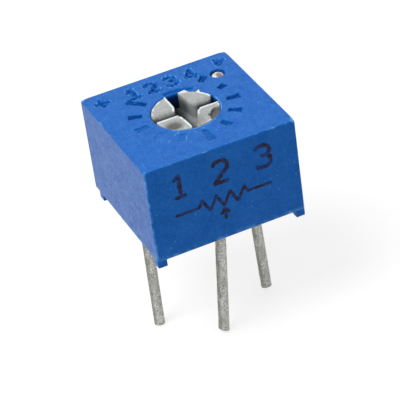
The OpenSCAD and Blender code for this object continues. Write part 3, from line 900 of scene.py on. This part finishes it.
def feed(tree, socket, value):
    """Give an input its value: a link from another socket, a number, or a colour triple."""
    if isinstance(value, bpy.types.NodeSocket):
        tree.links.new(value, socket)
    else:
        socket.default_value = (*value, 1) if isinstance(value, tuple) else value


def add_node(tree, kind, inputs, **settings):
    """A new node with its settings and its inputs, by name or number; gives its outputs."""
    node = tree.nodes.new("ShaderNode" + kind)
    for key, value in settings.items():
        setattr(node, key, value)
    for key, value in inputs.items():
        feed(tree, node.inputs[key], value)
    return node.outputs


def calculate(tree, operation, first, *others, clamp=False):
    """Math nodes on two or more values in turn, each a socket or a number."""
    for other in others:
        first = add_node(tree, "Math", {0: first, 1: other}, operation=operation, use_clamp=clamp)[0]
    return first


def remap(tree, value, low, high, to_low=0.0, to_high=1.0):
    """A Map Range node with smooth ends; the limits are sockets or numbers."""
    inputs = {"Value": value, "From Min": low, "From Max": high, "To Min": to_low, "To Max": to_high}
    return add_node(tree, "MapRange", inputs, interpolation_type="SMOOTHSTEP")[0]


def blend(tree, factor, first, second):
    """A colour mix; the colours are sockets or triples."""
    return add_node(tree, "Mix", {0: factor, 6: first, 7: second}, data_type="RGBA")[2]


def attribute(tree, name):
    """A value that the mesh keeps at its vertices."""
    return add_node(tree, "Attribute", {}, attribute_name=name)["Fac"]


def millimetres(tree):
    """Object coordinates in millimetres."""
    place = add_node(tree, "TexCoord", {})["Object"]
    return add_node(tree, "VectorMath", {0: place, 1: [1 / MM] * 3}, operation="MULTIPLY")[0]


def noise(tree, vector, scale, detail, roughness, distortion=0.0):
    """A noise texture's value; the scale is a socket or a number, in 1/mm."""
    return add_node(tree, "TexNoise", {"Vector": vector, "Scale": scale, "Detail": detail,
                                       "Roughness": roughness, "Distortion": distortion})[0]


def new_group(name, inputs, outputs):
    """An empty shader node group with named number inputs and outputs: its tree, its inputs'
    sockets and its outputs' by name."""
    group = bpy.data.node_groups.new(name, "ShaderNodeTree")
    for label, value in inputs.items():
        socket = group.interface.new_socket(label, in_out="INPUT", socket_type="NodeSocketFloat")
        socket.default_value = value
    for label in outputs:
        group.interface.new_socket(label, in_out="OUTPUT", socket_type="NodeSocketFloat")
    given, result = group.nodes.new("NodeGroupInput"), group.nodes.new("NodeGroupOutput")
    return group, given.outputs, result.inputs


def build_mould_grain():
    """Skin of a moulded face: Height adds fine grain, smears a few times as broad, flow marks,
    and faint scratches one way. Shade is the same about a middle of 0.5, for tinting."""
    group, given, result = new_group(
        "mould_grain",
        {"Grain Scale": 11.0, "Flow Scale": 1.6, "Grain": 1.0, "Flow": 1.0, "Scratches": 1.0},
        ("Height", "Shade"))
    place = millimetres(group)
    fine = noise(group, place, given["Grain Scale"], 3.0, 0.6)
    smear_scale = calculate(group, "MULTIPLY", given["Grain Scale"], 0.38)
    smears = noise(group, place, smear_scale, 2.0, 0.6, 1.2)
    grain = calculate(group, "ADD", calculate(group, "MULTIPLY", fine, 0.6),
                      calculate(group, "MULTIPLY", smears, 0.4))
    flow = noise(group, place, given["Flow Scale"], 3.0, 0.55, 0.4)
    streaks = add_node(group, "Mapping", {"Vector": place, "Rotation": [0, 0, math.radians(-28)],
                                          "Scale": [7.0, 0.9, 3.0]})[0]
    scratches = remap(group, noise(group, streaks, 1.0, 2.0, 0.6), 0.62, 0.74)
    changes = [calculate(group, "MULTIPLY", calculate(group, "SUBTRACT", grain, 0.5), given["Grain"]),
               calculate(group, "MULTIPLY", calculate(group, "SUBTRACT", flow, 0.5), given["Flow"]),
               calculate(group, "MULTIPLY", scratches, given["Scratches"], 0.35)]
    total = calculate(group, "ADD", *changes)
    feed(group, result["Height"], total)
    feed(group, result["Shade"], calculate(group, "ADD", total, 0.5, clamp=True))
    return group


def build_specks():
    """Sparse round specks: cells of a Voronoi texture, kept where the cell's own random value
    passes a threshold. Mask is 1 in a speck."""
    group, given, result = new_group("specks", {"Scale": 5.0, "Size": 0.3, "Share": 0.3}, ["Mask"])
    cells = add_node(group, "TexVoronoi", {"Vector": millimetres(group), "Scale": given["Scale"]})
    random = add_node(group, "SeparateColor", {0: cells["Color"]})
    kept = calculate(group, "LESS_THAN", random[0], given["Share"])
    spread = calculate(group, "ADD", calculate(group, "MULTIPLY", random[1], 0.8), 0.4)
    size = calculate(group, "MULTIPLY", given["Size"], spread)
    half = calculate(group, "MULTIPLY", size, 0.5)
    near = remap(group, cells["Distance"], half, size, 1.0, 0.0)
    feed(group, result["Mask"], calculate(group, "MULTIPLY", kept, near))
    return group


def build_blotches():
    """Soft irregular blotches. Mask rises from 0 to 1 where a distorted noise passes Level, over
    a width of Softness. Height is the noise itself."""
    group, given, result = new_group(
        "blotches", {"Scale": 1.5, "Level": 0.55, "Softness": 0.12, "Stretch Z": 1.0},
        ("Mask", "Height"))
    x, y, z = add_node(group, "SeparateXYZ", {0: millimetres(group)})
    squashed = calculate(group, "DIVIDE", z, given["Stretch Z"])
    place = add_node(group, "CombineXYZ", {0: x, 1: y, 2: squashed})[0]
    value = noise(group, place, given["Scale"], 4.0, 0.6, 0.6)
    top = calculate(group, "ADD", given["Level"], given["Softness"])
    feed(group, result["Mask"], remap(group, value, given["Level"], top))
    feed(group, result["Height"], value)
    return group


def build_edge_wear():
    """Rubbed edges and painted edge highlights: an edge value from the mesh, broken up by patchy
    noise. Mask is the wear together with the painted highlight.
    """
    group, given, result = new_group(
        "edge_wear_and_highlight", {"Scale": 3.2, "Breakup": 0.9, "Edge": 0.0}, ["Mask"])
    patchy = noise(group, millimetres(group), given["Scale"], 3.0, 0.6)
    level = calculate(group, "MULTIPLY", patchy, given["Breakup"])
    left = calculate(group, "SUBTRACT", given["Edge"], level)
    feed(group, result["Mask"], remap(group, left, 0.0, 0.5))
    return group


GROUPS = {"mould_grain": build_mould_grain(), "specks": build_specks(),
          "blotches": build_blotches(), "edge_wear_and_highlight": build_edge_wear()}


# ------ materials

def new_material(name, plain):
    """A material with a Principled shader, whose plain values are given by their inputs' names."""
    material = bpy.data.materials.new(name)
    material.use_nodes = True
    shader = material.node_tree.nodes["Principled BSDF"]
    for label, value in {"IOR": 1.45, **plain}.items():
        feed(material.node_tree, shader.inputs[label], value)
    return material, material.node_tree, shader


def use(tree, name, values):
    """The outputs of a shared group, placed in a material with values for its inputs in their
    order. An edge input reads the mesh's own edge value."""
    node = tree.nodes.new("ShaderNodeGroup")
    node.node_tree = GROUPS[name]
    for socket, value in zip(node.inputs, values):
        socket.default_value = value
    if name == "edge_wear_and_highlight":
        feed(tree, node.inputs["Edge"], attribute(tree, "edge"))
    return node.outputs


def layered(name, patterns, shades, layers, gloss, skin, coat=(), **plain):
    """A material built up from shared groups.

    patterns names each group used, with its values. A source is "pattern.Output" or the name of
    a value that the mesh keeps, and limits after it turn it from one range into another. shades
    runs the base colour between two shades, and each layer lays a colour over it by a share of a
    source. gloss is the roughness, skin the bump with its height in millimetres, and coat the
    product of two sources.
    """
    plain = {label.replace("_", " "): value for label, value in plain.items()}
    material, tree, shader = new_material(name, plain)
    placed_groups = {key: use(tree, group, values) for key, (group, *values) in patterns.items()}

    def source(label, *limits):
        key, _, output = label.partition(".")
        value = placed_groups[key][output] if output else attribute(tree, label)
        return remap(tree, value, *limits) if limits else value

    color = blend(tree, source(shades[0]), *shades[1:])
    for label, share, shade, *limits in layers:
        mask = calculate(tree, "MULTIPLY", source(label, *limits), share)
        color = blend(tree, mask, color, shade)
    feed(tree, shader.inputs["Base Color"], color)
    feed(tree, shader.inputs["Roughness"], source(*gloss))
    if coat:
        weight = calculate(tree, "MULTIPLY", source(*coat[0]), source(*coat[1]))
        feed(tree, shader.inputs["Coat Weight"], weight)
    bump = {"Strength": 1.0, "Distance": skin[1] * MM, "Height": source(skin[0])}
    feed(tree, shader.inputs["Normal"], add_node(tree, "Bump", bump)[0])
    return material


def fired(name, low, high, roughness, metallic, scale, speck, share):
    """A fired surface: fine grain between two shades, with specks of a third."""
    return layered(
        name,
        {"grain": ("mould_grain", scale, 1.3, 1.0, 0.5, 0.1), "dots": ("specks", 6.0, 0.2, share)},
        ("grain.Shade", low, high), [("dots.Mask", 0.6, speck)],
        ("grain.Shade", 0.2, 0.8, roughness + 0.1, roughness - 0.08), ("grain.Height", 0.006),
        Metallic=metallic)


FINISHES = {
    # Glossy blue thermoset: pale and dark specks of filler, painted shade in the sunk dial marks, the
    # hole and the vent, painted shadow deep down the hole and the vent, and edges rubbed pale, with a
    # painted highlight on the hole's rim to the right. The polish is a coat, which the recesses don't
    # have
    "blue": layered(
        "moulded_blue",
        {"grain": ("mould_grain", 11.0, 1.6, 1.15, 0.4, 0.6), "pale": ("specks", 4.6, 0.22, 0.2),
         "dark": ("specks", 3.1, 0.24, 0.13), "worn": ("edge_wear_and_highlight", 3.0, 1.1)},
        ("grain.Shade", (0.0005, 0.065, 0.315), (0.004, 0.15, 0.54)),
        [("pale.Mask", 0.55, (0.06, 0.27, 0.68)), ("dark.Mask", 0.4, (0.001, 0.04, 0.2)),
         ("recess_shade", 0.92, (0.0002, 0.011, 0.1)), ("shadow", 1.0, (0.003, 0.01, 0.022)),
         ("worn.Mask", 0.7, (0.1, 0.34, 0.7))],
        ("grain.Shade", 0.2, 0.8, 0.48, 0.36), ("grain.Height", 0.024),
        (("recess_shade", 0.0, 0.5, 1.0, 0.0), ("grain.Shade", 0.25, 0.7, 0.45, 1.0)),
        IOR=1.08, Coat_IOR=1.24, Coat_Roughness=0.4, Sheen_Weight=0.07, Sheen_Roughness=0.4),
    # Pale grey filled plastic: cool mottling, warm patches and dark specks, brownish painted shade
    # in the broken hollows and on the face by the arms, painted highlights on the edges, lips and
    # fins, broken up like wear, and painted shade turning black down the slot
    "grey": layered(
        "rotor_grey",
        {"grain": ("mould_grain", 9.0, 2.2, 1.4, 0.5, 0.5), "warm": ("blotches", 1.9, 0.5, 0.2),
         "dark": ("specks", 7.0, 0.26, 0.2), "rubbed": ("edge_wear_and_highlight", 4.0, 0.3)},
        ("grain.Shade", (0.22, 0.24, 0.235), (0.46, 0.48, 0.475)),
        [("warm.Mask", 0.35, (0.27, 0.25, 0.21)), ("dark.Mask", 0.35, (0.12, 0.11, 0.09)),
         ("stain", 0.85, (0.03, 0.027, 0.02)), ("rubbed.Mask", 0.9, (0.66, 0.7, 0.72)),
         ("slot_shade", 0.97, (0.02, 0.024, 0.03))],
        ("grain.Shade", 0.2, 0.8, 0.5, 0.34), ("grain.Height", 0.02)),
    # Dull dipped tin: fine dark pits and bright nibs, greenish flux, a painted dark reflection down
    # the side turned to the left, and a darker rim at the cut
    "tin": layered(
        "tinned_wire",
        {"cloud": ("blotches", 4.5, 0.34, 0.34, 2.0), "crust": ("blotches", 13.0, 0.4, 0.2),
         "flux": ("blotches", 1.1, 0.52, 0.14, 1.8), "nibs": ("specks", 10.0, 0.4, 0.4),
         "pits": ("specks", 11.0, 0.42, 0.5)},
        ("cloud.Mask", (0.5, 0.5, 0.47), (0.6, 0.6, 0.57)),
        [("crust.Mask", 0.55, (0.22, 0.22, 0.2)), ("flux.Mask", 0.3, (0.36, 0.38, 0.29)),
         ("nibs.Mask", 0.75, (0.92, 0.92, 0.88)), ("pits.Mask", 0.8, (0.07, 0.065, 0.06)),
         ("dark_side_and_cut", 0.65, (0.1, 0.09, 0.08))],
        ("cloud.Mask", 0.0, 1.0, 0.56, 0.44), ("crust.Height", 0.02), Metallic=0.85),
    # Potting epoxy: a faintly cloudy brown with small pale bubbles under a gently waved skin
    "resin": layered(
        "cast_resin",
        {"cloud": ("blotches", 0.7, 0.35, 0.4), "grain": ("mould_grain", 7.0, 1.6, 0.7, 0.3, 0.0),
         "bubbles": ("specks", 3.5, 0.16, 0.3)},
        ("cloud.Mask", (0.3, 0.215, 0.13), (0.4, 0.31, 0.21)),
        [("grain.Shade", 0.3, (0.2, 0.14, 0.08)), ("bubbles.Mask", 0.45, (0.62, 0.54, 0.42))],
        ("cloud.Height", 0.3, 0.7, 0.16, 0.3), ("grain.Height", 0.012), IOR=1.5),
    # Clear resin: glassy and pale round its edge as a painted reflection, brown in its middle
    "bead": layered(
        "bead_resin", {"cloud": ("blotches", 3.4, 0.36, 0.3)},
        ("cloud.Mask", (0.42, 0.44, 0.45), (0.78, 0.8, 0.8)),
        [("near_middle", 0.92, (0.2, 0.13, 0.085), 0.15, 0.65)],
        ("cloud.Height", 0.3, 0.7, 0.08, 0.2), ("cloud.Height", 0.03), IOR=1.55),
    # Near-black ink with a maroon cast, thinner in places so that blue shows through
    "ink": layered(
        "printing_ink",
        {"thin": ("blotches", 5.0, 0.46, 0.1), "grain": ("mould_grain", 14.0, 1.6, 1.0, 0.2, 0.2)},
        ("thin.Mask", (0.007, 0.004, 0.016), (0.003, 0.04, 0.19)),
        [("grain.Shade", 0.25, (0.02, 0.01, 0.035))],
        ("grain.Shade", 0.3, 0.7, 0.65, 0.5), ("grain.Height", 0.01), IOR=1.3),
    # Black silicone rubber with fine dust and flow marks
    "rubber": layered(
        "seal_rubber",
        {"grain": ("mould_grain", 8.0, 1.6, 1.0, 0.6, 0.0), "dust": ("specks", 4.0, 0.18, 0.3)},
        ("grain.Shade", (0.012, 0.011, 0.012), (0.05, 0.047, 0.046)),
        [("dust.Mask", 0.5, (0.2, 0.2, 0.19))],
        ("grain.Shade", 0.2, 0.8, 0.7, 0.5), ("grain.Height", 0.01)),
    # Rolled and plated spring alloy: rolling streaks one way, and warm stains
    "spring": layered(
        "spring_metal",
        {"grain": ("mould_grain", 16.0, 1.1, 0.4, 0.5, 1.0), "stain": ("blotches", 1.2, 0.52, 0.2)},
        ("grain.Shade", (0.52, 0.47, 0.38), (0.8, 0.76, 0.66)),
        [("stain.Mask", 0.4, (0.5, 0.34, 0.17))],
        ("grain.Shade", 0.2, 0.8, 0.36, 0.22), ("grain.Height", 0.004), Metallic=1.0),
    "ceramic": fired("fired_alumina", (0.66, 0.65, 0.61), (0.83, 0.82, 0.79), 0.55, 0.0, 12.0,
                     (0.45, 0.42, 0.38), 0.12),
    "track": fired("resistive_film", (0.012, 0.012, 0.014), (0.05, 0.05, 0.052), 0.38, 0.0, 18.0,
                   (0.12, 0.12, 0.13), 0.3),
    "film": fired("silver_film", (0.5, 0.5, 0.48), (0.76, 0.75, 0.72), 0.42, 0.9, 20.0,
                  (0.3, 0.29, 0.26), 0.25),
    "solder": fired("bright_solder", (0.45, 0.45, 0.44), (0.7, 0.7, 0.69), 0.26, 1.0, 9.0,
                    (0.25, 0.24, 0.22), 0.15),
}
# The finish of each kind of node, by its name without its number
NODE_FINISH = {
    "housing": "blue", "rotor": "grey", "pin": "tin", "base_seal": "resin", "vent_plug": "bead",
    "o_ring": "rubber", "wiper_contact": "spring", "substrate": "ceramic",
    "resistive_track": "track", "end_pad": "film", "collector_pad": "film",
    "solder_joint": "solder",
}


def finish_nodes():
    """Give every CAD node the material of its finish."""
    for name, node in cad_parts.items():
        for place in node.material_slots:
            place.material = FINISHES[NODE_FINISH[name.rstrip("_123")]]


# ------ camera, floor and light

def seen_from(back, distance):
    """Rotation and place that look at the origin from a direction, from a distance away."""
    return Matrix.Translation(back * distance) @ back.to_track_quat("Z", "Y").to_matrix().to_4x4()


# Turn round the part, height over it and roll, in degrees; the point looked at and how far off
# it is, in millimetres
CAMERA_ANGLES = (-20.04, 34.28, -8.45)
CAMERA_AIM = (0.047, -0.017, 0.159)
CAMERA_DISTANCE = 95.51


def make_camera():
    """The camera at its resting view."""
    data = bpy.data.cameras.new("camera")
    data.sensor_width = 36
    data.lens = 195.24
    data.clip_start = 0.005
    data.clip_end = 2
    camera = add_object("camera", data)
    bpy.context.scene.camera = camera
    azimuth, elevation, roll = map(math.radians, CAMERA_ANGLES)
    back = Vector((math.sin(azimuth) * math.cos(elevation),
                   -math.cos(azimuth) * math.cos(elevation), math.sin(elevation)))
    looking = seen_from(back, CAMERA_DISTANCE * MM) @ Matrix.Rotation(roll, 4, "Z")
    camera.matrix_world = Matrix.Translation(Vector(CAMERA_AIM) * MM) @ looking


def add_panel(name, direction, distance, size, power):
    """A round lamp that faces the object from a direction, a distance in metres away."""
    data = bpy.data.lights.new(name, "AREA")
    data.shape = "DISK"
    data.size = size
    data.energy = power
    add_object(name, data).matrix_world = seen_from(Vector(direction).normalized(), distance)


def floor_material():
    """A pale diffuse floor. Seen by the camera, in a mirror or through glass it shows white, a
    little darker where the object's shadow falls."""
    material, tree, shader = new_material(
        "floor_white",
        {"Base Color": (0.45, 0.45, 0.45), "Roughness": 0.9, "Specular IOR Level": 0.0})
    seen = add_node(tree, "BsdfDiffuse", {"Color": (0.24, 0.24, 0.24)})[0]
    glow = add_node(tree, "Emission", {"Strength": 0.77})[0]
    both = add_node(tree, "AddShader", {0: seen, 1: glow})[0]
    path = add_node(tree, "LightPath", {})
    shown = calculate(tree, "MAXIMUM", path["Is Camera Ray"], path["Is Glossy Ray"],
                      path["Is Transmission Ray"])
    mixed = add_node(tree, "MixShader", {0: shown, 1: shader.outputs[0], 2: both})[0]
    feed(tree, tree.nodes["Material Output"].inputs["Surface"], mixed)
    return material


def make_floor():
    """A square floor at the height of the wires' tips."""
    half, z = 0.6, cad_low[2]
    mesh = bpy.data.meshes.new("floor")
    mesh.from_pydata([(-half, -half, z), (half, -half, z), (half, half, z), (-half, half, z)], [],
                     [(0, 1, 2, 3)])
    mesh.materials.append(floor_material())
    add_object("floor", mesh)


def make_world(strength):
    """Even white light from all round."""
    world = bpy.data.worlds.new("studio")
    bpy.context.scene.world = world
    world.use_nodes = True
    background = world.node_tree.nodes["Background"].inputs
    background["Color"].default_value = (1, 1, 1, 1)
    background["Strength"].default_value = strength


# ------ the whole

make_housing()
make_rotor()
for terminal in range(3):
    make_pin(terminal)
make_vent_plug()
make_base_resin()
make_front_mark()
finish_nodes()
make_camera()
make_floor()
make_world(0.5)
add_panel("key", (-0.49, -0.18, 0.85), 0.22, 0.12, 0.43)
add_panel("back_sheen", (0.28, 0.78, 0.56), 0.22, 0.2, 0.07)
bpy.context.scene.view_settings.view_transform = "Standard"
